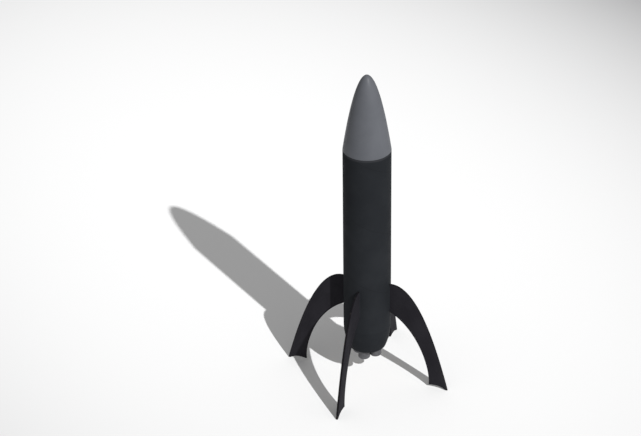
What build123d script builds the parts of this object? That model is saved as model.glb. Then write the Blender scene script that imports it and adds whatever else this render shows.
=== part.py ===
from build123d import *
import math
import os

# Model rocket with a cluster of four mini motors, standing on its four swept fins.
#
# Millimetres, +Z up. The origin is on the ground plane, on the rocket's long axis.
# Fin 1 points along +X, fin 2 along +Y, fin 3 along -X and fin 4 along -Y, and the
# motors carry the same numbers.

# Overall
HEIGHT = 477.0
NOSE_LENGTH = 112.0
NOSE_BASE = HEIGHT - NOSE_LENGTH
BODY_OD = 66.0
BODY_WALL = 0.9
BODY_R = BODY_OD / 2
BODY_BORE_R = BODY_R - BODY_WALL
EDGE_BREAK = 0.35
GLUE_GAP = 0.05
SLIDE_GAP = 0.10

# Nose cone and what is bolted into its shoulder
SHOULDER_LENGTH = 43.0
SHOULDER_R = BODY_BORE_R - SLIDE_GAP
NOSE_WALL = 1.6
NOSE_TIP_SOLID = 5.0
BULKHEAD_THICKNESS = 3.2
BALLAST_COUNT = 3
BALLAST_R = 10.0
BALLAST_THICKNESS = 1.5

# Tail cone
TAIL_TOP = 88.0
TAIL_END = 52.0
TAIL_END_R = 26.0
TAIL_WALL = 1.6
TAIL_SHOULDER = 16.0

# Fins, as (distance from the long axis, height)
FIN_COUNT = 4
FIN_THICKNESS = 3.0
FIN_ROOT_TOP = (BODY_R, 157.0)
FIN_OUTER_PULLS = ((71.5, 162.5), (99.0, 80.5))
FIN_TIP = (120.0, 0.0)
FIN_FOOT = (117.0, 0.0)
FIN_HEEL_PULL = (108.0, 7.4)
FIN_HEEL = (92.4, 3.8)
FIN_INNER_PULLS = ((94.6, 30.0), (75.6, 91.8))
FIN_ROOT_BOTTOM = (BODY_R, 112.5)
FIN_TAB_LOW = 118.0
FIN_TAB_HIGH = 152.0
SLOT_GAP = 0.1

# Motor cluster
MOTOR_CIRCLE_R = 12.2
MOTOR_R = 6.5
MOTOR_LENGTH = 45.0
MOTOR_CHARGE_R = 4.8
MOTOR_BASE = 37.5
MOTOR_TOP = MOTOR_BASE + MOTOR_LENGTH
TUBE_BORE_R = MOTOR_R + SLIDE_GAP
TUBE_R = TUBE_BORE_R + 0.3
TUBE_LOW = 43.5
TUBE_HIGH = 164.0
THRUST_RING_BORE_R = 5.2
THRUST_RING_HEIGHT = 6.0

# Screw caps that hold the motors, and the collars they screw onto
CAP_R = 8.4
CAP_BASE = 35.8
CAP_TOP = 48.5
CAP_FLOOR = 1.6
CAP_BORE_R = 7.5
CAP_EXHAUST_R = 4.5
CAP_ROUNDING = 2.6
COLLAR_R = CAP_BORE_R - SLIDE_GAP

# Plywood rings that carry the motor tubes
RING_THICKNESS = 3.2
FORWARD_RING_BASE = 158.0
MIDDLE_RING_BASE = 106.0
AFT_RING_BASE = 53.5

# Launch lugs
LUG_AZIMUTH = 135.0
LUG_BORE_R = 2.6
LUG_R = 3.2
LUG_LENGTH = 34.0
LUG_BASES = {"lower_launch_lug": 166.0, "upper_launch_lug": 292.0}
LUG_PAD_WIDTH = 4.0

# Eye bolts, M4
BOLT_R = 2.0
BOLT_HOLE_R = 2.1
EYE_R = 4.5
EYE_WIRE_R = 1.5
NUT_FLATS = 7.0
NUT_HEIGHT = 3.2
BOLT_COLLAR_R = 4.0
BOLT_COLLAR_HEIGHT = 1.5
BOLT_SPARE = 2.5

# Snap swivel
SWIVEL_WIRE_R = 0.6
SWIVEL_RING_R = 3.0
SWIVEL_BARREL_R = 1.8
SWIVEL_BARREL_LENGTH = 7.5
SNAP_LENGTH = 14.0
SNAP_WIDTH = 7.0

# Recovery gear, packed
PROTECTOR_R = 30.5
PROTECTOR_BASE = 174.4
PROTECTOR_HEIGHT = 14.0
PACK_R = 27.0
PACK_BASE = 189.4
PACK_HEIGHT = 68.0

FROM_BASE = (Align.CENTER, Align.CENTER, Align.MIN)
THROUGH = 1.0


def rod(radius, low, high):
    """Round bar on the long axis between two heights."""
    return Pos(0, 0, low) * Cylinder(radius, high - low, align=FROM_BASE)


def pipe(outer, bore, low, high):
    """Round tube on the long axis between two heights."""
    return rod(outer, low, high) - rod(bore, low - THROUGH, high + THROUGH)


def turned(outline):
    """Solid of revolution about the long axis from closed (radius, height) edges."""
    return revolve(Plane.XZ * make_face(outline), Axis.Z)


def closed(*points):
    """Closed straight-sided outline through the points."""
    return Polyline(*points, close=True)


def motor_place(index):
    """Location of one motor's axis, at the ground plane."""
    return Rot(0, 0, 360 / FIN_COUNT * index) * Pos(MOTOR_CIRCLE_R, 0, 0)


def tail_drop(height):
    """How much the tail cone has narrowed at a height, on its tangent arc."""
    length = TAIL_TOP - TAIL_END
    total = BODY_R - TAIL_END_R
    arc_radius = (length**2 + total**2) / (2 * total)
    return arc_radius - math.sqrt(arc_radius**2 - (TAIL_TOP - height) ** 2)


# Nose


def nose_cone():
    """Hollow paraboloid with a shoulder that slides into the body tube."""
    inner_r = BODY_R - NOSE_WALL
    bore_r = SHOULDER_R - NOSE_WALL
    base = NOSE_BASE - SHOULDER_LENGTH
    cavity_top = HEIGHT - NOSE_TIP_SOLID
    outline = [
        Bezier((0, HEIGHT), (BODY_R / 2, HEIGHT), (BODY_R, NOSE_BASE)),
        Line((BODY_R, NOSE_BASE), (SHOULDER_R, NOSE_BASE)),
        Line((SHOULDER_R, NOSE_BASE), (SHOULDER_R, base)),
        Line((SHOULDER_R, base), (bore_r, base)),
        Line((bore_r, base), (bore_r, NOSE_BASE - NOSE_WALL)),
        Line((bore_r, NOSE_BASE - NOSE_WALL), (inner_r, NOSE_BASE + NOSE_WALL)),
        Bezier((inner_r, NOSE_BASE + NOSE_WALL), (inner_r / 2, cavity_top), (0, cavity_top)),
        Line((0, cavity_top), (0, HEIGHT)),
    ]
    cone = turned(outline)
    at_joint = cone.edges().filter_by(GeomType.CIRCLE).filter_by(lambda e: abs(e.radius - BODY_R) < 0.01)
    cone = fillet(at_joint, EDGE_BREAK)
    foot = cone.edges().group_by(Axis.Z)[0]
    return chamfer(foot.sort_by(lambda e: e.radius)[-1], EDGE_BREAK)


def eye_bolt(plate_low, plate_high, eye_up, stack):
    """Eye bolt through a plate, its collar on the eye's side, long enough for a stack and a nut."""
    direction = 1 if eye_up else -1
    eye_face = plate_high if eye_up else plate_low
    collar_end = eye_face + direction * BOLT_COLLAR_HEIGHT
    shank_end = (plate_low if eye_up else plate_high) - direction * (stack + NUT_HEIGHT + BOLT_SPARE)
    eye_centre = collar_end + direction * (EYE_R + EYE_WIRE_R / 2)
    shank_ends = sorted((shank_end, eye_centre - direction * EYE_R))
    bolt = rod(BOLT_R, *shank_ends)
    bolt += rod(BOLT_COLLAR_R, *sorted((eye_face, collar_end)))
    return bolt + Pos(0, 0, eye_centre) * Rot(90, 0, 0) * Torus(EYE_R, EYE_WIRE_R)


def nut(low):
    """M4 hexagon nut with its lower face at a height."""
    blank = extrude(RegularPolygon(NUT_FLATS / 2, 6, major_radius=False), NUT_HEIGHT)
    return Pos(0, 0, low) * blank - rod(BOLT_R + GLUE_GAP, low - THROUGH, low + NUT_HEIGHT + THROUGH)


def snap_swivel(eye_centre):
    """Barrel swivel whose ring is linked through an eye, with a flat snap below."""
    ring_centre = eye_centre - EYE_R + EYE_WIRE_R + SWIVEL_WIRE_R - SWIVEL_RING_R + SLIDE_GAP
    barrel_top = ring_centre - SWIVEL_RING_R - 1.2
    barrel_low = barrel_top - SWIVEL_BARREL_LENGTH
    snap_top = barrel_low + SWIVEL_WIRE_R
    swivel = Pos(0, 0, ring_centre) * Rot(0, 90, 0) * Torus(SWIVEL_RING_R, SWIVEL_WIRE_R)
    swivel += rod(SWIVEL_WIRE_R + 0.2, barrel_top - 1, ring_centre - SWIVEL_RING_R)
    swivel += fillet(rod(SWIVEL_BARREL_R, barrel_low, barrel_top).edges(), 0.8)
    wire = 2 * SWIVEL_WIRE_R
    loop = SlotOverall(SNAP_LENGTH, SNAP_WIDTH) - SlotOverall(SNAP_LENGTH - 2 * wire, SNAP_WIDTH - 2 * wire)
    snap = extrude(loop, SWIVEL_WIRE_R, both=True)
    return swivel + Pos(0, 0, snap_top - SNAP_LENGTH / 2) * Rot(0, 90, 0) * snap


def nose_parts():
    """Nose cone, its bulkhead, the ballast and the hardware on its eye bolt."""
    plate_low = NOSE_BASE - SHOULDER_LENGTH + 1.0
    plate_high = plate_low + BULKHEAD_THICKNESS
    stack = BALLAST_COUNT * BALLAST_THICKNESS
    bulkhead_r = SHOULDER_R - NOSE_WALL - GLUE_GAP
    washers = [
        pipe(BALLAST_R, BOLT_HOLE_R, low + GLUE_GAP / 2, low + BALLAST_THICKNESS - GLUE_GAP / 2)
        for low in (plate_high + BALLAST_THICKNESS * step for step in range(BALLAST_COUNT))
    ]
    eye_centre = plate_low - BOLT_COLLAR_HEIGHT - EYE_R - EYE_WIRE_R / 2
    return {
        "nose_cone": nose_cone(),
        "nose_bulkhead": pipe(bulkhead_r, BOLT_HOLE_R, plate_low, plate_high),
        "nose_eye_bolt": eye_bolt(plate_low, plate_high, False, stack),
        "ballast_washers": Compound(children=washers),
        "ballast_nut": nut(plate_high + stack),
        "snap_swivel": snap_swivel(eye_centre),
    }


# Airframe


def body_tube():
    """Paper tube with a slot through its wall for each fin's tab."""
    tube = pipe(BODY_R, BODY_BORE_R, TAIL_TOP, NOSE_BASE)
    tube = chamfer(tube.edges().group_by(Axis.Z)[-1].sort_by(lambda e: e.radius)[-1], EDGE_BREAK)
    slot_height = FIN_TAB_HIGH - FIN_TAB_LOW + 2 * SLOT_GAP
    slot = Box(4 * BODY_WALL, FIN_THICKNESS + 2 * SLOT_GAP, slot_height)
    for index in range(FIN_COUNT):
        place = Rot(0, 0, 360 / FIN_COUNT * index) * Pos(BODY_R, 0, (FIN_TAB_LOW + FIN_TAB_HIGH) / 2)
        tube -= place * slot
    return tube


def tail_cone():
    """Boat tail: a tangent arc from the body tube down to its open end, with a glued shoulder."""
    shoulder_r = BODY_BORE_R - GLUE_GAP
    bore_r = shoulder_r - TAIL_WALL
    top = TAIL_TOP + TAIL_SHOULDER
    end_bore_r = TAIL_END_R - TAIL_WALL
    joint = (BODY_R, TAIL_TOP)
    bore_start = (bore_r, TAIL_TOP)
    outline = [
        TangentArc(joint, (TAIL_END_R, TAIL_END), tangent=(0, -1)),
        Line((TAIL_END_R, TAIL_END), (end_bore_r, TAIL_END)),
        TangentArc(bore_start, (end_bore_r, TAIL_END), tangent=(0, -1)),
        Line(bore_start, (bore_r, top)),
        Line((bore_r, top), (shoulder_r, top)),
        Line((shoulder_r, top), (shoulder_r, TAIL_TOP)),
        Line((shoulder_r, TAIL_TOP), joint),
    ]
    tail = turned(outline)
    end_edge = tail.edges().group_by(Axis.Z)[0].sort_by(lambda e: e.radius)[-1]
    return fillet(end_edge, 2 * EDGE_BREAK)


def fin(index):
    """Swept plywood fin with a tab that reaches through the tube wall to its motor tube."""
    tab_end = MOTOR_CIRCLE_R + TUBE_R + SLIDE_GAP
    outline = [
        Bezier(FIN_ROOT_TOP, *FIN_OUTER_PULLS, FIN_TIP),
        Line(FIN_TIP, FIN_FOOT),
        Bezier(FIN_FOOT, FIN_HEEL_PULL, FIN_HEEL),
        Bezier(FIN_HEEL, *FIN_INNER_PULLS, FIN_ROOT_BOTTOM),
        Line(FIN_ROOT_BOTTOM, (BODY_R, FIN_TAB_LOW)),
        Line((BODY_R, FIN_TAB_LOW), (tab_end, FIN_TAB_LOW)),
        Line((tab_end, FIN_TAB_LOW), (tab_end, FIN_TAB_HIGH)),
        Line((tab_end, FIN_TAB_HIGH), (BODY_R, FIN_TAB_HIGH)),
        Line((BODY_R, FIN_TAB_HIGH), FIN_ROOT_TOP),
    ]
    plate = extrude(Plane.XZ * make_face(outline), FIN_THICKNESS / 2, both=True)
    swept = plate.edges().filter_by(GeomType.BEZIER)
    swept = swept.filter_by(lambda e: e.length > 2 * (FIN_FOOT[0] - FIN_HEEL[0]))
    plate = chamfer(swept, EDGE_BREAK)
    return Rot(0, 0, 360 / FIN_COUNT * index) * plate


def plywood_ring(outer, low, bolt_hole):
    """Ring with a hole for each motor tube, and one in the middle for a bolt if asked."""
    high = low + RING_THICKNESS
    plate = rod(outer, low, high)
    for index in range(FIN_COUNT):
        plate -= motor_place(index) * rod(TUBE_R + GLUE_GAP, low - THROUGH, high + THROUGH)
    if bolt_hole:
        plate -= rod(BOLT_HOLE_R, low - THROUGH, high + THROUGH)
    return plate


def launch_lug(low):
    """Tube for the launch rod, on a pad that fits the body tube's curve."""
    centre = BODY_R + LUG_R
    high = low + LUG_LENGTH
    pad = Box(centre - BODY_R + 1, LUG_PAD_WIDTH, LUG_LENGTH, align=(Align.MAX, Align.CENTER, Align.MIN))
    lug = Pos(centre, 0, low) * (Cylinder(LUG_R, LUG_LENGTH, align=FROM_BASE) + pad)
    lug -= Pos(centre, 0, 0) * rod(LUG_BORE_R, low - THROUGH, high + THROUGH)
    lug -= rod(BODY_R, low - THROUGH, high + THROUGH)
    return Rot(0, 0, LUG_AZIMUTH) * lug


def airframe_parts():
    """Body tube, tail, fins, rings, lugs and the cord anchor."""
    ring_r = BODY_BORE_R - GLUE_GAP
    aft_r = TAIL_END_R - TAIL_WALL + tail_drop(TAIL_END) - tail_drop(AFT_RING_BASE) - 4 * GLUE_GAP
    forward_top = FORWARD_RING_BASE + RING_THICKNESS
    parts = {
        "body_tube": body_tube(),
        "tail_cone": tail_cone(),
        "forward_ring": plywood_ring(ring_r, FORWARD_RING_BASE, True),
        "middle_ring": plywood_ring(ring_r, MIDDLE_RING_BASE, False),
        "aft_ring": plywood_ring(aft_r, AFT_RING_BASE, False),
        "anchor_eye_bolt": eye_bolt(FORWARD_RING_BASE, forward_top, True, 0),
        "anchor_nut": nut(FORWARD_RING_BASE - NUT_HEIGHT),
    }
    for name, low in LUG_BASES.items():
        parts[name] = launch_lug(low)
    for index in range(FIN_COUNT):
        parts[f"fin_{index + 1}"] = fin(index)
    return parts


def recovery_parts():
    """Packed parachute and the flameproof cloth under it, as plain soft solids."""
    pack = rod(PACK_R, PACK_BASE, PACK_BASE + PACK_HEIGHT)
    cloth = rod(PROTECTOR_R, PROTECTOR_BASE, PROTECTOR_BASE + PROTECTOR_HEIGHT)
    return {
        "parachute_pack": fillet(pack.edges(), 6),
        "chute_protector": fillet(cloth.edges(), 5),
    }


# Motors


def motor_nozzle():
    """Clay nozzle: a narrow throat that flares out to the exhaust end."""
    outer = MOTOR_CHARGE_R - GLUE_GAP
    low = MOTOR_BASE + 2.0
    high = low + 7.0
    return turned(closed((2.4, low), (outer, low), (outer, high), (1.6, high), (0.9, low + 4.0)))


def motor_cap():
    """Screw cap: a cup with a rounded rim round its exhaust hole."""
    cap = rod(CAP_R, CAP_BASE, CAP_TOP)
    cap = fillet(cap.edges().group_by(Axis.Z)[0], CAP_ROUNDING)
    cap = chamfer(cap.edges().group_by(Axis.Z)[-1], EDGE_BREAK)
    cap -= rod(CAP_BORE_R, CAP_BASE + CAP_FLOOR, CAP_TOP + THROUGH)
    cap -= rod(CAP_EXHAUST_R, CAP_BASE - THROUGH, CAP_TOP)
    hole_edge = cap.edges().group_by(Axis.Z)[0].sort_by(lambda e: e.radius)[0]
    return chamfer(hole_edge, EDGE_BREAK)


def motor_set():
    """One motor's pieces, its tube and its cap, on the long axis."""
    charge_r = MOTOR_CHARGE_R - GLUE_GAP
    nozzle_top = MOTOR_BASE + 9.0
    end_cap_low = MOTOR_TOP - 5.0
    casing = pipe(MOTOR_R, MOTOR_CHARGE_R, MOTOR_BASE, MOTOR_TOP)
    thrust_base = MOTOR_TOP + SLIDE_GAP
    thrust_top = thrust_base + THRUST_RING_HEIGHT
    return {
        "motor_tube": pipe(TUBE_R, TUBE_BORE_R, TUBE_LOW, TUBE_HIGH),
        "thrust_ring": pipe(TUBE_BORE_R - GLUE_GAP, THRUST_RING_BORE_R, thrust_base, thrust_top),
        "cap_collar": pipe(COLLAR_R, TUBE_R + GLUE_GAP, TUBE_LOW, AFT_RING_BASE),
        "motor_casing": chamfer(casing.edges().group_by(Axis.Z)[0], 0.2),
        "motor_nozzle": motor_nozzle(),
        "motor_grain": rod(charge_r, nozzle_top + GLUE_GAP, end_cap_low - 5.0),
        "motor_end_cap": rod(charge_r, end_cap_low, end_cap_low + 3.0),
        "motor_cap": motor_cap(),
    }


def all_parts():
    parts = {**airframe_parts(), **nose_parts(), **recovery_parts()}
    pieces = motor_set()
    for index in range(FIN_COUNT):
        for name, piece in pieces.items():
            parts[f"{name}_{index + 1}"] = motor_place(index) * piece
    return parts


os.makedirs("parts", exist_ok=True)
for node, shape in all_parts().items():
    export_step(shape, f"parts/{node}.step")
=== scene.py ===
"""Finished surfaces of the model rocket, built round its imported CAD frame, in a plain studio.

Metres, in the frame's own axes: +Z up along the rocket, the ground at zero, fin 1 along +X.
"""
import math

import bmesh
import bpy
from mathutils import Matrix, Vector, noise


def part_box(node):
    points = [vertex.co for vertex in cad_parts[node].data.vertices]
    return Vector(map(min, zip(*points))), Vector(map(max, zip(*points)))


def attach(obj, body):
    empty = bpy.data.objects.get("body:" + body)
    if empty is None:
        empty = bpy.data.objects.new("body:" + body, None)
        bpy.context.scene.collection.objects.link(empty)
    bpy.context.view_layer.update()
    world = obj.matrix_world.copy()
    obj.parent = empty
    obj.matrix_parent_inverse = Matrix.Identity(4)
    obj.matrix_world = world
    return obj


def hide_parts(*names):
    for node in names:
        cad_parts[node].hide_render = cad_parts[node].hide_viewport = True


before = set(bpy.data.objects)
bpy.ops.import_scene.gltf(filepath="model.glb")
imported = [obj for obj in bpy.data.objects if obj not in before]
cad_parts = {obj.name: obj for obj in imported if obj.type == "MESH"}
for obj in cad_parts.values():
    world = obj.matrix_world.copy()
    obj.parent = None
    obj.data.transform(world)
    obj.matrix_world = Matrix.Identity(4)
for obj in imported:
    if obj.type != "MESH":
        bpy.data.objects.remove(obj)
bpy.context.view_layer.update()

MM = 0.001
TURN = 2 * math.pi
FIN_COUNT = 4
NUMBERS = range(1, FIN_COUNT + 1)

# Sizes read from the frame
body_low, body_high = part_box("body_tube")
nose_low, nose_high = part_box("nose_cone")
tail_low, tail_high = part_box("tail_cone")
fin_low, fin_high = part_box("fin_1")
cap_low, cap_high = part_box("motor_cap_1")
collar_low, collar_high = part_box("cap_collar_1")
BODY_R = (body_high.x - body_low.x) / 2
NOSE_BASE = body_high.z
NOSE_TOP = nose_high.z
TAIL_TOP = body_low.z
FIN_HALF = (fin_high.y - fin_low.y) / 2
FIN_TAB_END = fin_low.x
MOTOR_CIRCLE_R = (cap_low.x + cap_high.x) / 2
CAP_R = (cap_high.x - cap_low.x) / 2
COLLAR_R = (collar_high.x - collar_low.x) / 2

# Sizes that the boxes don't give, the same as in the CAD part
BODY_WALL = 0.9 * MM
BORE_R = BODY_R - BODY_WALL
MOULDED_WALL = 1.6 * MM
NOSE_TIP_SOLID = 5.0 * MM
EDGE_BREAK = 0.35 * MM
SLIDE_GAP = 0.10 * MM
GLUE_GAP = 0.05 * MM
TAIL_END_R = 26.0 * MM
FIN_ROOT_TOP = (BODY_R, 157.0 * MM)
FIN_OUTER_PULLS = ((71.5 * MM, 162.5 * MM), (99.0 * MM, 80.5 * MM))
FIN_TIP = (120.0 * MM, 0.0)
FIN_FOOT = (117.0 * MM, 0.0)
FIN_HEEL_PULL = (108.0 * MM, 7.4 * MM)
FIN_HEEL = (92.4 * MM, 3.8 * MM)
FIN_INNER_PULLS = ((94.6 * MM, 30.0 * MM), (75.6 * MM, 91.8 * MM))
FIN_ROOT_BOTTOM = (BODY_R, 112.5 * MM)
FIN_TAB_LOW = 118.0 * MM
FIN_TAB_HIGH = 152.0 * MM
SLOT_GAP = 0.1 * MM
CAP_BORE_R = 7.5 * MM
CAP_EXHAUST_R = 4.5 * MM
CAP_FLOOR = 1.6 * MM
CAP_ROUNDING = 2.6 * MM
COLLAR_WALL = 0.45 * MM
THREAD_PITCH = 2.0 * MM
LUG_AZIMUTH = math.radians(135)
LUG_R = 3.2 * MM
LUG_BORE_R = 2.6 * MM

# Sizes that only the finished surfaces have
JOINT_BREAK = 0.12 * MM
NOSE_EDGE = 0.5 * MM
FIN_SANDING = 0.6 * MM
FIN_FILLET = 1.1 * MM
THREAD_DEPTH = 0.3 * MM
FLUTE_COUNT = 36
FLUTE_DEPTH = 0.22 * MM
SPIRAL_PITCH = 96.0 * MM
SANDED_RIM = 1.2 * MM
RUBBED_HEIGHT = 45.0 * MM
PLY_PAIR = 1.06 * MM
RIPSTOP_GRID = 3.2 * MM
WEAVE_PITCH = 1.2 * MM


# ---------------------------------------------------------------- mesh helpers


def add_piece(name, mesh, finish, body, replaces=None, sharp_above=35):
    """Adds a mesh as a piece that rides on a body, smooth except along its sharp edges."""
    mesh.shade_smooth()
    mesh.set_sharp_from_angle(angle=math.radians(sharp_above))
    mesh.materials.append(finish)
    piece = bpy.data.objects.new(name, mesh)
    bpy.context.scene.collection.objects.link(piece)
    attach(piece, body)
    if replaces:
        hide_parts(replaces)
    return piece


def closed_mesh(name, points, faces):
    """Mesh with its doubled points merged, its flat faces dropped and its normals facing out."""
    mesh = bpy.data.meshes.new(name)
    mesh.from_pydata([tuple(point) for point in points], [], faces)
    work = bmesh.new()
    work.from_mesh(mesh)
    bmesh.ops.remove_doubles(work, verts=work.verts, dist=1e-7)
    bmesh.ops.dissolve_degenerate(work, edges=work.edges, dist=1e-7)
    bmesh.ops.recalc_face_normals(work, faces=work.faces)
    work.to_mesh(mesh)
    work.free()
    return mesh


def moved(mesh, matrix):
    """The same mesh, put in its place."""
    mesh.transform(matrix)
    return mesh


def quarter_turns(number):
    """Matrix from the first of four places round the long axis to another."""
    return Matrix.Rotation(TURN * (number - 1) / FIN_COUNT, 4, "Z")


def motor_place(number):
    """Matrix from the long axis to one motor's axis."""
    return quarter_turns(number) @ Matrix.Translation((MOTOR_CIRCLE_R, 0, 0))


def even_angles(count):
    return [TURN * step / count for step in range(count)]


def angle_between(first, second, period=TURN):
    """Smallest difference between two angles, or directions if the period is half a turn."""
    return abs((first - second + period / 2) % period - period / 2)


def smooth_step(value):
    value = min(1.0, max(0.0, value))
    return value * value * (3 - 2 * value)


def bezier(points, steps):
    """Points along a Bezier curve of any degree, both ends included."""
    degree = len(points) - 1
    curve = []
    for step in range(steps + 1):
        t = step / steps
        weights = [math.comb(degree, k) * t**k * (1 - t) ** (degree - k) for k in range(degree + 1)]
        curve.append(tuple(sum(w * p[axis] for w, p in zip(weights, points)) for axis in (0, 1)))
    return curve


def rounded(corners, steps=4):
    """Closed outline through corners given as (x, y, rounding radius)."""
    outline = []
    for index, (x, y, radius) in enumerate(corners):
        if radius == 0:
            outline.append((x, y))
            continue
        here = Vector((x, y))
        back = (Vector(corners[index - 1][:2]) - here).normalized()
        ahead = (Vector(corners[(index + 1) % len(corners)][:2]) - here).normalized()
        half = back.angle(ahead) / 2
        centre = here + (back + ahead).normalized() * radius / math.sin(half)
        start = here + back * radius / math.tan(half) - centre
        end = here + ahead * radius / math.tan(half) - centre
        sweep = start.angle_signed(end)
        for step in range(steps + 1):
            outline.append(tuple(centre + Matrix.Rotation(-sweep * step / steps, 2) @ start))
    return outline


def ring_faces(rows, columns, left_out=()):
    """Faces between the rows of a grid that closes on itself both ways."""
    faces = []
    for row in range(rows):
        for column in range(columns):
            if (row, column) not in left_out:
                below, right = (row + 1) % rows, (column + 1) % columns
                corners = ((row, column), (row, right), (below, right), (below, column))
                faces.append(tuple(r * columns + c for r, c in corners))
    return faces


def lathe(name, outline, angles, reshape=None):
    """Mesh of a closed (radius, height) outline turned round the long axis.

    reshape(row, radius, height, angle) gives a point's own radius.
    """
    points = []
    for row, (radius, height) in enumerate(outline):
        for angle in angles:
            own = reshape(row, radius, height, angle) if reshape else radius
            points.append((own * math.cos(angle), own * math.sin(angle), height))
    return closed_mesh(name, points, ring_faces(len(outline), len(angles)))


def mirrored_bars(name, section, low, high, rows):
    """Two bars along the height, on both sides of the X axis; section(z) gives one's outline."""
    points, faces = [], []
    for side in (-1, 1):
        base = len(points)
        for row in range(rows + 1):
            z = low + (high - low) * row / rows
            outline = section(z)
            points += [(x, side * y, z) for x, y in outline]
        width = len(outline)
        for row in range(rows):
            for k in range(width):
                a, b = base + row * width + k, base + row * width + (k + 1) % width
                faces.append((a, b, b + width, a + width))
        faces.append(tuple(range(base, base + width)))
        faces.append(tuple(range(base + rows * width, base + (rows + 1) * width)))
    return closed_mesh(name, points, faces)


def sheet_mesh(name, points, across):
    """Open sheet through rows of points, each row `across` points wide."""
    faces = []
    for start in range(0, len(points) - across, across):
        for k in range(start, start + across - 1):
            faces.append((k, k + 1, k + across + 1, k + across))
    mesh = bpy.data.meshes.new(name)
    mesh.from_pydata(points, [], faces)
    return mesh


# ---------------------------------------------------------------- finishes


def srgb(red, green, blue):
    """Linear colour from display values of 0 to 255."""

    def linear(value):
        value /= 255
        return value / 12.92 if value <= 0.04045 else ((value + 0.055) / 1.055) ** 2.4

    return (linear(red), linear(green), linear(blue), 1.0)


class Finish:
    """A procedural material: layers of colour, roughness and relief on one Principled shader."""

    # The Mix node's colour inputs and output, which share their names with its other sockets
    MIX_A, MIX_B, MIX_RESULT = 6, 7, 2

    def __init__(self, name, **sockets):
        self.material = bpy.data.materials.new(name)
        self.material.use_nodes = True
        self.tree = self.material.node_tree
        self.shader = self.tree.nodes["Principled BSDF"]
        for socket, value in sockets.items():
            self.shader.inputs[socket.replace("_", " ")].default_value = value
        self.place = self.add("ShaderNodeTexCoord").outputs["Object"]
        self.x, self.y, self.z = self.add("ShaderNodeSeparateXYZ", {0: self.place}).outputs
        self.normal = None

    def add(self, kind, inputs=None, **settings):
        """Adds a node; each input is a value, or another node's output."""
        node = self.tree.nodes.new(kind)
        for key, value in settings.items():
            setattr(node, key, value)
        for key, value in (inputs or {}).items():
            if isinstance(value, bpy.types.NodeSocket):
                self.tree.links.new(value, node.inputs[key])
            else:
                node.inputs[key].default_value = value
        return node

    def math(self, operation, a, b=0.0):
        return self.add("ShaderNodeMath", {0: a, 1: b}, operation=operation).outputs[0]

    def vector(self, operation, a, b=(0, 0, 0)):
        node = self.add("ShaderNodeVectorMath", {0: a, 1: b}, operation=operation)
        return node.outputs["Value" if operation in ("LENGTH", "DOT_PRODUCT") else "Vector"]

    def joined(self, x, y, z):
        """Vector of three parts."""
        return self.add("ShaderNodeCombineXYZ", {0: x, 1: y, 2: z}).outputs[0]

    def noise(self, scale, detail=3.0, stretch=(1, 1, 1), place=None):
        """Noise whose scale is in cells per metre."""
        where = self.add("ShaderNodeMapping", {0: place or self.place, "Scale": stretch}).outputs[0]
        sockets = {"Vector": where, "Scale": scale, "Detail": detail}
        return self.add("ShaderNodeTexNoise", sockets).outputs[0]

    def ranged(self, value, low, high, start=0.3, end=0.7):
        """A smooth step from low to high as the value goes from start to end."""
        sockets = {"Value": value, "From Min": start, "From Max": end, "To Min": low, "To Max": high}
        return self.add("ShaderNodeMapRange", sockets, interpolation_type="SMOOTHSTEP").outputs[0]

    def mixed(self, factor, a, b):
        """Colour a where the factor is 0, and b where it is 1."""
        sockets = {0: factor, self.MIX_A: a, self.MIX_B: b}
        return self.add("ShaderNodeMix", sockets, data_type="RGBA").outputs[self.MIX_RESULT]

    def mottled(self, scale, dark, light, detail=4.0, stretch=(1, 1, 1)):
        """Soft patches of two colours."""
        return self.mixed(self.ranged(self.noise(scale, detail, stretch), 0, 1), dark, light)

    def stripes(self, value, period, low, high):
        """1 along the middle line of each period, and 0 away from it."""
        cell = self.math("FRACT", self.math("ADD", self.math("DIVIDE", value, period), 50.0))
        off_line = self.math("ABSOLUTE", self.math("SUBTRACT", cell, 0.5))
        return self.ranged(off_line, 1, 0, low, high)

    def wave(self, value, period):
        """Sine of a distance, from -1 to 1."""
        return self.math("SINE", self.math("MULTIPLY", value, TURN / period))

    def around(self, radius):
        """Distance along a circle of this radius round the long axis."""
        return self.math("MULTIPLY", self.math("ARCTAN2", self.y, self.x), radius)

    def from_axis(self):
        """Distance from the long axis."""
        return self.vector("LENGTH", self.joined(self.x, self.y, 0.0))

    def colour(self, value):
        self.tree.links.new(value, self.shader.inputs["Base Color"])

    def roughness(self, scale, low, high, detail=4.0, stretch=(1, 1, 1)):
        """Lets the roughness wander between two values."""
        value = self.ranged(self.noise(scale, detail, stretch), low, high)
        self.tree.links.new(value, self.shader.inputs["Roughness"])

    def relief(self, height, distance, strength=1.0):
        """Adds a layer of relief; the distance is its depth in metres."""
        sockets = {"Height": height, "Distance": distance, "Strength": strength}
        if self.normal:
            sockets["Normal"] = self.normal
        self.normal = self.add("ShaderNodeBump", sockets).outputs[0]
        self.tree.links.new(self.normal, self.shader.inputs["Normal"])


def sprayed(name, light, dark, gloss):
    """Start of a sprayed satin paint, with soft mottle and a little dust; returns its colour too."""
    finish = Finish(name, Specular_IOR_Level=0.015)
    dust = finish.ranged(finish.noise(1400, 2), 0, 0.08, 0.66, 0.80)
    shade = finish.mixed(dust, finish.mottled(28, dark, light), srgb(104, 102, 99))
    finish.roughness(60, *gloss)
    finish.relief(finish.noise(620, 2), 0.05 * MM, 0.35)
    return finish, shade


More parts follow.
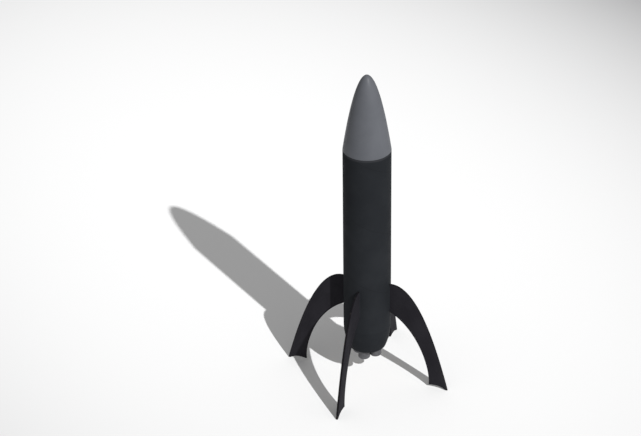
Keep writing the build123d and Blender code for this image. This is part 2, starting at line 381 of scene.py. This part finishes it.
def tube_paint():
    """Paint over spiral-wound paper, whose seam still shows; the inside of the tube is bare.

    The rim that the nose cone rubs on is sanded and a little paler.
    """
    finish, shade = sprayed("tube_paint", srgb(38, 40, 43), srgb(34, 36, 39), (0.52, 0.62))
    turns = finish.math("DIVIDE", finish.around(1.0), TURN)
    strip = finish.math("ADD", turns, finish.math("DIVIDE", finish.z, SPIRAL_PITCH))
    seam = finish.stripes(strip, 1.0, 0.0, 0.005)
    finish.relief(seam, 0.07 * MM, -0.8)
    shade = finish.mixed(seam, shade, srgb(29, 30, 33))
    wander = 1.6 * MM
    height = finish.math("ADD", finish.z, finish.math("MULTIPLY", finish.noise(60, 5), wander))
    sanded = finish.ranged(height, 0, 0.85, body_high.z - 2 * SANDED_RIM, body_high.z - SANDED_RIM)
    shade = finish.mixed(sanded, shade, srgb(50, 51, 54))
    bare_edge, painted_edge = BORE_R + 0.2 * MM, BORE_R + 0.4 * MM
    bore = finish.ranged(finish.from_axis(), 1, 0, bare_edge, painted_edge)
    paper_shade = finish.mottled(700, srgb(150, 118, 80), srgb(178, 144, 102), 5, (1, 1, 0.3))
    finish.colour(finish.mixed(bore, shade, paper_shade))
    return finish.material


def tail_paint():
    """Paint on the boat tail, the fins' glue fillets and the launch lugs."""
    finish, shade = sprayed("tail_paint", srgb(36, 38, 41), srgb(32, 34, 37), (0.48, 0.58))
    finish.colour(shade)
    return finish.material


def rim_of_fin(finish):
    """1 on a fin's rim and 0 on its two faces, told apart by the way that they face."""
    back = finish.math("MULTIPLY", finish.y, -1.0)
    across = finish.vector("NORMALIZE", finish.joined(back, finish.x, 0.0))
    normal = finish.add("ShaderNodeNewGeometry").outputs["Normal"]
    facing = finish.math("ABSOLUTE", finish.vector("DOT_PRODUCT", across, normal))
    return finish.ranged(facing, 1, 0, 0.80, 0.98)


def fin_paint():
    """Paint over plywood: the grain shows, the rim is painted darker as painted shade where it catches
    the light, and it is rubbed in patches.
    """
    finish, shade = sprayed("fin_paint", srgb(39, 38, 42), srgb(34, 33, 37), (0.50, 0.62))
    out, grain_slope = finish.from_axis(), math.radians(52)
    along = (math.cos(grain_slope), -math.sin(grain_slope), 0)
    over = (math.sin(grain_slope), math.cos(grain_slope), 0)
    flat_place = finish.joined(out, finish.z, 0.0)
    place = finish.joined(finish.vector("DOT_PRODUCT", flat_place, along),
                          finish.vector("DOT_PRODUCT", flat_place, over), 0.0)
    grain = finish.noise(1, 4, (60, 1500, 1), place)
    finish.relief(grain, 0.06 * MM, 0.45)
    shade = finish.mixed(finish.ranged(grain, 0, 0.5, 0.45, 0.75), shade, srgb(27, 26, 29))
    rim = rim_of_fin(finish)
    # Painted shade: the rim's colour is darkened to hold down the light that falls on it
    shade = finish.mixed(rim, shade, srgb(22, 21, 24))
    patches = finish.ranged(finish.noise(330, 6), 0, 1, 0.54, 0.70)
    low_down = finish.ranged(finish.z, 1, 0.2, 0.0, RUBBED_HEIGHT)
    rubbed = finish.math("MULTIPLY", finish.math("MULTIPLY", rim, patches), low_down)
    finish.colour(finish.mixed(rubbed, shade, srgb(70, 66, 61)))
    return finish.material


def nose_plastic():
    """Blow-moulded grey plastic with a fine texture and faint handling scuffs."""
    finish = Finish("nose_plastic", Specular_IOR_Level=0.15)
    shade = finish.mottled(22, srgb(86, 88, 93), srgb(93, 95, 100))
    scuffs = finish.ranged(finish.noise(900, 6, (1, 1, 0.15)), 0, 0.12, 0.62, 0.76)
    finish.colour(finish.mixed(scuffs, shade, srgb(126, 128, 132)))
    finish.roughness(90, 0.42, 0.55)
    finish.relief(finish.noise(1700, 2), 0.035 * MM, 0.5)
    return finish.material


def turned_metal(name, dark, light, metallic):
    """Grey anodised aluminium with the fine rings that a lathe leaves."""
    finish = Finish(name, Metallic=metallic, Specular_IOR_Level=0.3)
    finish.colour(finish.mottled(240, dark, light))
    finish.roughness(500, 0.38, 0.50, stretch=(1, 1, 6))
    finish.relief(finish.noise(1, 3, (150, 150, 9000)), 0.01 * MM, 0.3)
    return finish.material


def plated_metal(name, dark, light, gloss):
    """Plated steel or brass hardware with faint tarnish."""
    finish = Finish(name, Metallic=1.0)
    finish.colour(finish.mottled(420, dark, light, 5))
    finish.roughness(700, *gloss)
    finish.relief(finish.noise(2600, 3), 0.02 * MM, 0.35)
    return finish.material


def plywood():
    """Birch plywood: grain on the faces, and the plies' light and dark lines on the edges."""
    finish = Finish("plywood", Specular_IOR_Level=0.3)
    face = finish.mottled(46, srgb(196, 164, 118), srgb(224, 196, 150), 6, (1, 9, 9))
    normal = finish.add("ShaderNodeNewGeometry").outputs["Normal"]
    level = finish.math("ABSOLUTE", finish.vector("DOT_PRODUCT", normal, (0, 0, 1)))
    plies = finish.ranged(finish.wave(finish.z, PLY_PAIR), 0, 0.6, -0.2, 0.5)
    on_edge = finish.math("MULTIPLY", finish.ranged(level, 1, 0), plies)
    finish.colour(finish.mixed(on_edge, face, srgb(140, 102, 62)))
    finish.roughness(120, 0.55, 0.72, 6, (1, 9, 9))
    finish.relief(finish.noise(160, 6, (1, 10, 10)), 0.07 * MM, 0.5)
    return finish.material


def grainy(name, scale, dark, light, roughness, depth, stretch=(1, 1, 1)):
    """Matt material whose colour and relief both follow one fine noise."""
    finish = Finish(name, Specular_IOR_Level=0.25)
    grain = finish.noise(scale, 5, stretch)
    finish.colour(finish.mixed(finish.ranged(grain, 0, 1), dark, light))
    finish.roughness(scale / 3, *roughness)
    finish.relief(grain, depth, 0.7)
    return finish.material


def paper(name, dark, light):
    """Bare wound paper, whose fibres run along the tube."""
    return grainy(name, 900, dark, light, (0.71, 0.87), 0.05 * MM, (1, 1, 0.3))


def ripstop():
    """Thin nylon with the reinforcing grid of ripstop cloth."""
    finish = Finish("ripstop_nylon", Specular_IOR_Level=0.4, Sheen_Weight=0.25)
    pack_r = 20 * MM
    upright = finish.stripes(finish.around(pack_r), RIPSTOP_GRID, 0.02, 0.07)
    level = finish.stripes(finish.z, RIPSTOP_GRID, 0.02, 0.07)
    grid = finish.math("MAXIMUM", upright, level)
    base = finish.mottled(80, srgb(178, 74, 24), srgb(200, 90, 34))
    finish.colour(finish.mixed(finish.math("MULTIPLY", grid, 0.25), base, srgb(214, 122, 66)))
    finish.roughness(200, 0.48, 0.62)
    finish.relief(grid, 0.08 * MM, 0.6)
    return finish.material


def woven_cloth():
    """Flameproof cloth in a plain weave."""
    finish = Finish("flameproof_cloth", Specular_IOR_Level=0.2, Sheen_Weight=0.3)
    warp = finish.math("ABSOLUTE", finish.wave(finish.x, WEAVE_PITCH))
    weft = finish.math("ABSOLUTE", finish.wave(finish.y, WEAVE_PITCH))
    weave = finish.math("MULTIPLY", warp, weft)
    base = finish.mottled(140, srgb(176, 158, 92), srgb(204, 188, 118))
    finish.colour(finish.mixed(finish.math("MULTIPLY", weave, 0.3), base, srgb(120, 104, 58)))
    finish.roughness(300, 0.82, 0.94)
    finish.relief(weave, 0.12 * MM, 0.8)
    return finish.material


def epoxy():
    """Amber bead of glue."""
    finish = Finish("epoxy_bead", Specular_IOR_Level=0.5)
    finish.colour(finish.mottled(200, srgb(150, 120, 66), srgb(184, 152, 92)))
    finish.roughness(260, 0.16, 0.30)
    finish.relief(finish.noise(350, 2), 0.15 * MM, 0.5)
    return finish.material


TUBE_PAINT = tube_paint()
TAIL_PAINT = tail_paint()
FIN_PAINT = fin_paint()
NOSE_PLASTIC = nose_plastic()
CAP_METAL = turned_metal("cap_metal", srgb(79, 79, 82), srgb(93, 93, 96), 0.35)
COLLAR_METAL = turned_metal("collar_metal", srgb(118, 118, 121), srgb(134, 134, 137), 0.85)
STEEL = plated_metal("zinc_steel", srgb(160, 162, 168), srgb(190, 192, 196), (0.28, 0.42))
BRASS = plated_metal("swivel_brass", srgb(176, 144, 78), srgb(206, 176, 104), (0.20, 0.34))
PLYWOOD = plywood()
KRAFT = paper("kraft_tube", srgb(158, 124, 84), srgb(186, 150, 106))
MOTOR_PAPER = paper("motor_paper", srgb(142, 108, 72), srgb(168, 132, 92))
CLAY = grainy("clay", 1500, srgb(150, 143, 132), srgb(182, 176, 165), (0.78, 0.92), 0.10 * MM)
POWDER = grainy("pressed_powder", 2600, srgb(26, 26, 27), srgb(44, 43, 42), (0.80, 0.95), 0.08 * MM)
RIPSTOP = ripstop()
CLOTH = woven_cloth()
EPOXY = epoxy()


# ---------------------------------------------------------------- nose


def make_nose():
    """Hollow paraboloid with its shoulder, and the fine ridge where the mould's halves met."""
    length = NOSE_TOP - NOSE_BASE
    shoulder_r = BORE_R - SLIDE_GAP
    bore_r = shoulder_r - MOULDED_WALL
    cavity_r = BODY_R - MOULDED_WALL
    cavity_top = NOSE_TOP - NOSE_TIP_SOLID
    steps = 52
    outside = [(BODY_R * k / steps, NOSE_TOP - length * (k / steps) ** 2) for k in range(steps)]
    cavity_base = NOSE_BASE + MOULDED_WALL
    cavity = bezier([(cavity_r, cavity_base), (cavity_r / 2, cavity_top), (0.0, cavity_top)], 24)
    shoulder = rounded(
        [
            (*outside[-1], 0),
            (BODY_R, NOSE_BASE, NOSE_EDGE),
            (shoulder_r, NOSE_BASE, 0),
            (shoulder_r, nose_low.z, EDGE_BREAK),
            (bore_r, nose_low.z, EDGE_BREAK),
            (bore_r, NOSE_BASE - MOULDED_WALL, 0),
        ]
    )
    # Even columns, but finer ones near the seam on both sides of the nose
    seam = math.radians(20.5)
    reach = math.radians(2)
    offsets = [reach * k / 6 for k in range(-5, 6)]
    angles = [angle for angle in even_angles(160) if angle_between(angle, seam, math.pi) > reach]
    angles += [seam + side + offset for side in (0, math.pi) for offset in offsets]
    ridge_height = 0.07 * MM
    ridge_width = 0.3 * MM

    def ridged(row, radius, height, angle):
        if row == 0 or row >= steps:
            return radius
        away = angle_between(angle, seam, math.pi) * radius
        return radius + ridge_height * math.exp(-((away / ridge_width) ** 2))

    mesh = lathe("nose_shell", outside + shoulder[1:] + cavity, sorted(angles), ridged)
    add_piece("nose_shell", mesh, NOSE_PLASTIC, "nose", "nose_cone")


# ---------------------------------------------------------------- body and tail


def make_body_tube():
    """Wound tube with softened ends and a real slot for each fin's tab."""
    # Columns of points at even angles, with one on each side of every slot
    half_slot = math.asin((FIN_HALF + SLOT_GAP) / BODY_R)
    fins = even_angles(FIN_COUNT)

    def from_fin(angle):
        return min(angle_between(angle, fin) for fin in fins)

    clear = [angle for angle in even_angles(180) if from_fin(angle) > 1.2 * half_slot]
    angles = sorted(clear + [(fin + side * half_slot) % TURN for fin in fins for side in (-1, 1)])
    columns = len(angles)
    slots = [column for column in range(columns) if from_fin(angles[column] + half_slot) < 1e-6]

    # Rows up the outside, over the rim and down the bore, with one at each end of the slots
    slot_low, slot_high = FIN_TAB_LOW - SLOT_GAP, FIN_TAB_HIGH + SLOT_GAP
    bands = 18
    above = [slot_high + (body_high.z - slot_high) * k / bands for k in range(bands)]
    top = body_high.z
    rim = rounded([(BODY_R, top, EDGE_BREAK), (BORE_R, top, EDGE_BREAK / 2), (BORE_R, slot_high, 0)])
    outline = [(BODY_R - JOINT_BREAK, body_low.z), (BODY_R, body_low.z + JOINT_BREAK), (BODY_R, slot_low)]
    outer_low, outer_high = len(outline) - 1, len(outline)
    outline += [(BODY_R, height) for height in above]
    outline += rim[:-1]
    outline += [(BORE_R, height) for height in above[::-1]]
    inner_high, inner_low = len(outline) - 1, len(outline)
    outline += [(BORE_R, slot_low), (BORE_R, body_low.z)]

    # Faces, left out at the slots, whose four walls go through the tube instead
    points = [(r * math.cos(a), r * math.sin(a), height) for r, height in outline for a in angles]
    left_out = {(row, column) for row in (outer_low, inner_high) for column in slots}
    faces = ring_faces(len(outline), columns, left_out)
    slot_rows = (outer_low, outer_high, inner_high, inner_low)
    for left in slots:
        right = (left + 1) % columns
        for outer, inner in ((outer_low, inner_low), (outer_high, inner_high)):
            corners = ((outer, left), (outer, right), (inner, right), (inner, left))
            faces.append(tuple(row * columns + column for row, column in corners))
        for side in (left, right):
            faces.append(tuple(row * columns + side for row in slot_rows))
    mesh = closed_mesh("painted_tube", points, faces)
    add_piece("painted_tube", mesh, TUBE_PAINT, "airframe", "body_tube")


def tail_arc(start_r, end_r, steps):
    """Points down the tail's arc, which leaves the tube straight down."""
    drop, fall = start_r - end_r, TAIL_TOP - tail_low.z
    arc_r = (fall**2 + drop**2) / (2 * drop)
    turns = [math.asin(fall / arc_r) * k / steps for k in range(steps + 1)]
    return [(start_r - arc_r * (1 - math.cos(turn)), TAIL_TOP - arc_r * math.sin(turn)) for turn in turns]


def make_tail():
    """Boat tail shell with a rounded lip and the shoulder that the tube is glued to."""
    shoulder_r = BORE_R - GLUE_GAP
    bore_r = shoulder_r - MOULDED_WALL
    outer = tail_arc(BODY_R, TAIL_END_R, 28)
    inner = tail_arc(bore_r, TAIL_END_R - MOULDED_WALL, 18)[::-1]
    lip = rounded(
        [
            (*outer[-2], 0),
            (TAIL_END_R, tail_low.z, 2 * EDGE_BREAK),
            (TAIL_END_R - MOULDED_WALL, tail_low.z, EDGE_BREAK),
            (*inner[1], 0),
        ]
    )
    shoulder = rounded(
        [
            (bore_r, TAIL_TOP, 0),
            (bore_r, tail_high.z, 0),
            (shoulder_r, tail_high.z, EDGE_BREAK),
            (shoulder_r, TAIL_TOP, 0),
        ]
    )
    top = [(BODY_R - JOINT_BREAK, TAIL_TOP), (BODY_R, TAIL_TOP - JOINT_BREAK)]
    outline = top + outer[1:-2] + lip + inner[2:-1] + shoulder
    mesh = lathe("tail_fairing", outline, even_angles(144))
    add_piece("tail_fairing", mesh, TAIL_PAINT, "airframe", "tail_cone")


# ---------------------------------------------------------------- fins


def fin_outline():
    """(distance from the long axis, height) points round one fin and its tab."""
    outer = bezier([FIN_ROOT_TOP, *FIN_OUTER_PULLS, FIN_TIP], 56)
    heel = bezier([FIN_FOOT, FIN_HEEL_PULL, FIN_HEEL], 14)
    inner = bezier([FIN_HEEL, *FIN_INNER_PULLS, FIN_ROOT_BOTTOM], 48)
    tab = [
        (BODY_R, FIN_TAB_LOW),
        (FIN_TAB_END, FIN_TAB_LOW),
        (FIN_TAB_END, FIN_TAB_HIGH),
        (BODY_R, FIN_TAB_HIGH),
    ]
    return outer + heel + inner[1:] + tab


def fin_mesh():
    """Plate cut to the outline, with its edges sanded round outside the tube."""
    work = bmesh.new()
    front = work.faces.new([work.verts.new((x, -FIN_HALF, z)) for x, z in fin_outline()])
    made = bmesh.ops.extrude_face_region(work, geom=[front])
    back = [item for item in made["geom"] if isinstance(item, bmesh.types.BMVert)]
    bmesh.ops.translate(work, verts=back, vec=(0, 2 * FIN_HALF, 0))
    rims = [e for e in work.edges if e.verts[0].co.y == e.verts[1].co.y]
    outside = [e for e in rims if max(v.co.x for v in e.verts) > BODY_R + SLOT_GAP]
    bmesh.ops.bevel(work, geom=outside, offset=FIN_SANDING, segments=4, profile=0.5, affect="EDGES")
    bmesh.ops.recalc_face_normals(work, faces=work.faces)
    mesh = bpy.data.meshes.new("fin_plate")
    work.to_mesh(mesh)
    work.free()
    return mesh


def fin_fillet_mesh():
    """Concave glue fillets along both sides of a fin's root, fading out at both ends."""
    low, high = FIN_ROOT_BOTTOM[1], FIN_ROOT_TOP[1]
    fade, thinnest, hidden = 6 * MM, 0.12 * MM, 0.2 * MM

    def section(z):
        size = FIN_FILLET * smooth_step(min(z - low, high - z) / fade) + thinnest
        touch = FIN_HALF + size
        centre_x = math.sqrt(BODY_R**2 - touch**2) + size
        turns = [math.pi / 2 * k / 6 for k in range(7)]
        hollow = [(centre_x - size * math.cos(turn), touch - size * math.sin(turn)) for turn in turns]
        return [(BODY_R - 2 * hidden, FIN_HALF - hidden)] + hollow

    return mirrored_bars("fin_fillet", section, low, high, 40)


def make_fins():
    """Four fins, each with the glue fillets at its root."""
    for number in NUMBERS:
        turn = quarter_turns(number)
        plate = moved(fin_mesh(), turn)
        add_piece(f"fin_plate_{number}", plate, FIN_PAINT, "airframe",
                  f"fin_{number}", sharp_above=30)
        fillet = moved(fin_fillet_mesh(), turn)
        add_piece(f"fin_fillet_{number}", fillet, TAIL_PAINT, "airframe", sharp_above=50)


# ---------------------------------------------------------------- motor caps and collars


def cap_mesh():
    """Screw cap with a rounded rim, a band of grip flutes and an exhaust hole."""
    floor_top = cap_low.z + CAP_FLOOR
    plain, ease = 1.4 * MM, 0.5 * MM
    band_low = cap_low.z + CAP_ROUNDING + plain
    band_high = cap_high.z - plain
    lower = rounded(
        [
            (CAP_EXHAUST_R, cap_low.z, EDGE_BREAK),
            (CAP_R, cap_low.z, CAP_ROUNDING),
            (CAP_R, band_low, 0),
        ],
        steps=8,
    )
    band = [(CAP_R, band_low + ease), (CAP_R, band_high - ease)]
    upper = rounded(
        [
            (CAP_R, band_high, 0),
            (CAP_R, cap_high.z, EDGE_BREAK),
            (CAP_BORE_R, cap_high.z, EDGE_BREAK / 2),
            (CAP_BORE_R, floor_top, EDGE_BREAK),
            (CAP_EXHAUST_R, floor_top, 0),
        ]
    )
    fluted_rows = range(len(lower), len(lower) + len(band))

    def fluted(row, radius, height, angle):
        if row not in fluted_rows:
            return radius
        return radius - FLUTE_DEPTH * (0.5 - 0.5 * math.cos(FLUTE_COUNT * angle)) ** 2

    return lathe("cap", lower + band + upper, even_angles(FLUTE_COUNT * 6), fluted)


def collar_mesh():
    """Collar with a rounded thread, which fades out at both ends."""
    low, high = collar_low.z, collar_high.z
    plain = 1.5 * MM
    steps = 52
    outside = [(COLLAR_R, low + (high - low) * k / steps) for k in range(steps + 1)]
    inside = [(COLLAR_R - COLLAR_WALL, high), (COLLAR_R - COLLAR_WALL, low)]

    def threaded(row, radius, height, angle):
        if row > steps:
            return radius
        wave = 0.5 - 0.5 * math.cos(TURN * (height / THREAD_PITCH - angle / TURN))
        ends = smooth_step((height - low) / MM) * smooth_step((high - plain - height) / MM)
        return radius - THREAD_DEPTH * wave * ends

    return lathe("collar", outside + inside, even_angles(96), threaded)


def glue_bead_mesh():
    """Uneven bead of glue where a collar meets the plywood ring above it."""
    size, hidden = 1.1 * MM, 0.1 * MM
    top = collar_high.z + hidden
    inner_r = COLLAR_R - hidden
    waist = (COLLAR_R + size / 3, top - size / 2)
    section = [(inner_r, top), (COLLAR_R + size, top), waist, (inner_r, top - size)]
    waist_row = section.index(waist)

    def uneven(row, radius, height, angle):
        if row != waist_row:
            return radius
        return radius + noise.noise(Vector((2 * math.cos(angle), 2 * math.sin(angle), 0))) * size / 4

    return lathe("glue_bead", section, even_angles(64), uneven)


def make_motor_ends():
    """Each motor's screw cap, and the threaded collar that is glued on above it."""
    for number in NUMBERS:
        place = motor_place(number)
        cap = moved(cap_mesh(), place)
        add_piece(f"screw_cap_{number}", cap, CAP_METAL, f"cap_{number}",
                  f"motor_cap_{number}")
        collar = moved(collar_mesh(), place)
        add_piece(f"threaded_collar_{number}", collar, COLLAR_METAL, "airframe",
                  f"cap_collar_{number}", sharp_above=60)
        bead = moved(glue_bead_mesh(), place)
        add_piece(f"collar_glue_{number}", bead, EPOXY, "airframe", sharp_above=60)


# ---------------------------------------------------------------- launch lugs


def lug_mesh(low, high):
    """Paper lug on the X axis with its glue fillets down to the body tube."""
    centre = BODY_R + LUG_R
    end_break = 0.2 * MM
    corners = [(LUG_R, low), (LUG_R, high), (LUG_BORE_R, high), (LUG_BORE_R, low)]
    wall = rounded([(*corner, end_break) for corner in corners], 3)
    tube = moved(lathe("lug", wall, even_angles(48)), Matrix.Translation((centre, 0, 0)))
    hidden, sagging = 0.05 * MM, 0.25 * MM
    fade, smallest = 7 * MM, 0.3
    full_reach, full_climb = 5.0 * MM, 64
    inside = (BODY_R - 0.5 * MM, 0.3 * MM)

    def section(z):
        size = smallest + (1 - smallest) * smooth_step(min(z - low, high - z) / fade)
        reach = full_reach * size
        foot = (math.sqrt(BODY_R**2 - reach**2) - hidden, reach)
        turn = math.radians(180 - full_climb * size)
        shoulder = (centre + (LUG_R - hidden) * math.cos(turn), (LUG_R - hidden) * math.sin(turn))
        pull = (BODY_R + sagging * size, shoulder[1] * 0.95)
        return [inside] + bezier([foot, pull, shoulder], 6)

    fillets = mirrored_bars("lug_fillets", section, low, high, 24)
    work = bmesh.new()
    work.from_mesh(tube)
    work.from_mesh(fillets)
    work.to_mesh(tube)
    work.free()
    return tube


def make_lugs():
    """Two launch lugs in line, painted with the rocket."""
    for node in ("lower_launch_lug", "upper_launch_lug"):
        low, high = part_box(node)
        lug = moved(lug_mesh(low.z, high.z), Matrix.Rotation(LUG_AZIMUTH, 4, "Z"))
        add_piece(f"painted_{node}", lug, TAIL_PAINT, "airframe", node, sharp_above=40)


# ---------------------------------------------------------------- packed recovery gear


def make_parachute():
    """Canopy folded to a long strip and rolled up: one loose spiral of thin cloth."""
    low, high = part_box("parachute_pack")
    spare, hem_rise, crease_depth = 0.6 * MM, 2.4 * MM, 0.9 * MM
    outer_r = (high.x - low.x) / 2 - spare
    inner_r, pitch = 2.5 * MM, 0.85 * MM
    per_turn, rows = 56, 12
    base, height = low.z + spare, high.z - low.z - spare - hem_rise
    points = []
    for k in range(int((outer_r - inner_r) / pitch * per_turn) + 1):
        turns = k / per_turn
        angle = TURN * turns
        radius = inner_r + pitch * turns
        along_strip = noise.noise(Vector((0.9 * turns, 0, 1.7)))
        round_roll = noise.noise(Vector((1.3 * math.cos(angle), 1.3 * math.sin(angle), 0.5 * turns)))
        hem = (0.5 + 0.5 * (along_strip + 0.6 * round_roll)) * hem_rise
        for row in range(rows + 1):
            share = row / rows
            waist = 1 - 0.05 * math.sin(math.pi * share)
            crease_place = Vector((math.cos(angle) * 3, math.sin(angle) * 3, share * 6))
            crease = noise.noise(crease_place) * crease_depth
            own = radius * waist + crease * radius / outer_r
            points.append((own * math.cos(angle), own * math.sin(angle), base + (height + hem) * share))
    mesh = sheet_mesh("parachute_roll", points, rows + 1)
    piece = add_piece("parachute_roll", mesh, RIPSTOP, "airframe",
                      "parachute_pack", sharp_above=80)


def make_protector():
    """Square of flameproof cloth, folded to and fro into a pad under the parachute."""
    low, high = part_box("chute_protector")
    layers, half = 9, 20.5 * MM
    across, along, bend = 14, 16, 6
    slack = 0.5 * MM
    gap = (high.z - low.z - 2 * slack) / (layers - 1)
    path = []
    for layer in range(layers):
        z = low.z + slack + gap * layer
        way = 1 if layer % 2 == 0 else -1
        path += [(way * half * (2 * k / along - 1), z) for k in range(along + 1)]
        if layer < layers - 1:
            for turn in [math.pi * k / bend for k in range(1, bend)]:
                path.append((way * (half + gap / 2 * math.sin(turn)), z + gap / 2 * (1 - math.cos(turn))))
    points = []
    for x, z in path:
        for y in [half * (2 * k / across - 1) for k in range(across + 1)]:
            sag = noise.noise(Vector((x * 60, y * 60, z * 8))) * slack
            points.append((x, y, z + sag))
    mesh = sheet_mesh("protector_fold", points, across + 1)
    piece = add_piece("protector_fold", mesh, CLOTH, "airframe",
                      "chute_protector", sharp_above=80)


# ---------------------------------------------------------------- CAD nodes that stay


def finish_cad_nodes():
    """Gives each CAD node whose shape is final its material."""
    kept = {
        "forward_ring": PLYWOOD,
        "middle_ring": PLYWOOD,
        "aft_ring": PLYWOOD,
        "nose_bulkhead": PLYWOOD,
        "anchor_eye_bolt": STEEL,
        "anchor_nut": STEEL,
        "nose_eye_bolt": STEEL,
        "ballast_nut": STEEL,
        "ballast_washers": STEEL,
        "snap_swivel": BRASS,
    }
    for number in NUMBERS:
        kept[f"motor_tube_{number}"] = KRAFT
        kept[f"thrust_ring_{number}"] = KRAFT
        kept[f"motor_casing_{number}"] = MOTOR_PAPER
        kept[f"motor_nozzle_{number}"] = CLAY
        kept[f"motor_end_cap_{number}"] = CLAY
        kept[f"motor_grain_{number}"] = POWDER
    for node, finish in kept.items():
        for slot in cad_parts[node].material_slots:
            slot.material = finish


# ---------------------------------------------------------------- studio


def towards(azimuth, elevation):
    """Unit vector at an azimuth from +X and an elevation, both in degrees."""
    azimuth, elevation = math.radians(azimuth), math.radians(elevation)
    level = math.cos(elevation)
    return Vector((level * math.cos(azimuth), level * math.sin(azimuth), math.sin(elevation)))


def make_floor():
    """Pale paper floor with a painted pool of light: its colour is brightest behind the rocket and
    darkens away from an oval.
    """
    reach = 14.0
    mesh = bpy.data.meshes.new("floor")
    corners = [(-reach, -reach, 0), (reach, -reach, 0), (reach, reach, 0), (-reach, reach, 0)]
    mesh.from_pydata(corners, [], [(0, 1, 2, 3)])
    floor = bpy.data.objects.new("floor", mesh)
    bpy.context.scene.collection.objects.link(floor)
    finish = Finish("floor_paper", Specular_IOR_Level=0.0, Roughness=0.9)
    # Painted light: the floor's colour is brightest inside this oval and darkens away from it
    oval = {
        0: finish.place,
        "Location": (-0.227, 0.327, 0.0),
        "Rotation": (0, 0, math.radians(-42)),
        "Scale": (1.55, 0.98, 1.0),
    }
    place = finish.add("ShaderNodeMapping", oval, vector_type="TEXTURE").outputs[0]
    fall = finish.math("POWER", finish.vector("LENGTH", place), 2.85)
    # Painted light: bright paper in the pool, mixed towards a painted darker grey away from it
    finish.colour(finish.mixed(fall, srgb(243, 243, 243), srgb(159, 159, 160)))
    mesh.materials.append(finish.material)


def make_lights():
    """One crisp key light from the front right, and even fill from everywhere."""
    key = bpy.data.lights.new("key", "SUN")
    key.energy = 3.7
    key.angle = math.radians(0.7)
    key_object = bpy.data.objects.new("key", key)
    key_object.rotation_euler = towards(-35.5, 40.9).to_track_quat("Z", "Y").to_euler()
    bpy.context.scene.collection.objects.link(key_object)
    world = bpy.data.worlds.new("fill")
    world.use_nodes = True
    background = world.node_tree.nodes["Background"].inputs
    background["Color"].default_value = (1.0, 1.0, 1.0, 1.0)
    background["Strength"].default_value = 0.37
    bpy.context.scene.world = world


def make_camera():
    """Long lens, looking 31 degrees down, with the rocket a little right of centre."""
    aim = Vector((0.0, 0.0218, 0.2443))
    distance = 3.4205
    view = towards(110.5, -31.23)
    data = bpy.data.cameras.new("camera")
    data.sensor_width = 36
    data.lens = 140
    data.shift_x = -0.0814
    camera = bpy.data.objects.new("camera", data)
    camera.location = aim - distance * view
    camera.rotation_euler = view.to_track_quat("-Z", "Y").to_euler()
    scene = bpy.context.scene
    scene.collection.objects.link(camera)
    scene.camera = camera
    scene.view_settings.view_transform = "Standard"


make_camera()
make_floor()
make_lights()
make_nose()
make_body_tube()
make_tail()
make_fins()
make_motor_ends()
make_lugs()
make_protector()
make_parachute()
finish_cad_nodes()
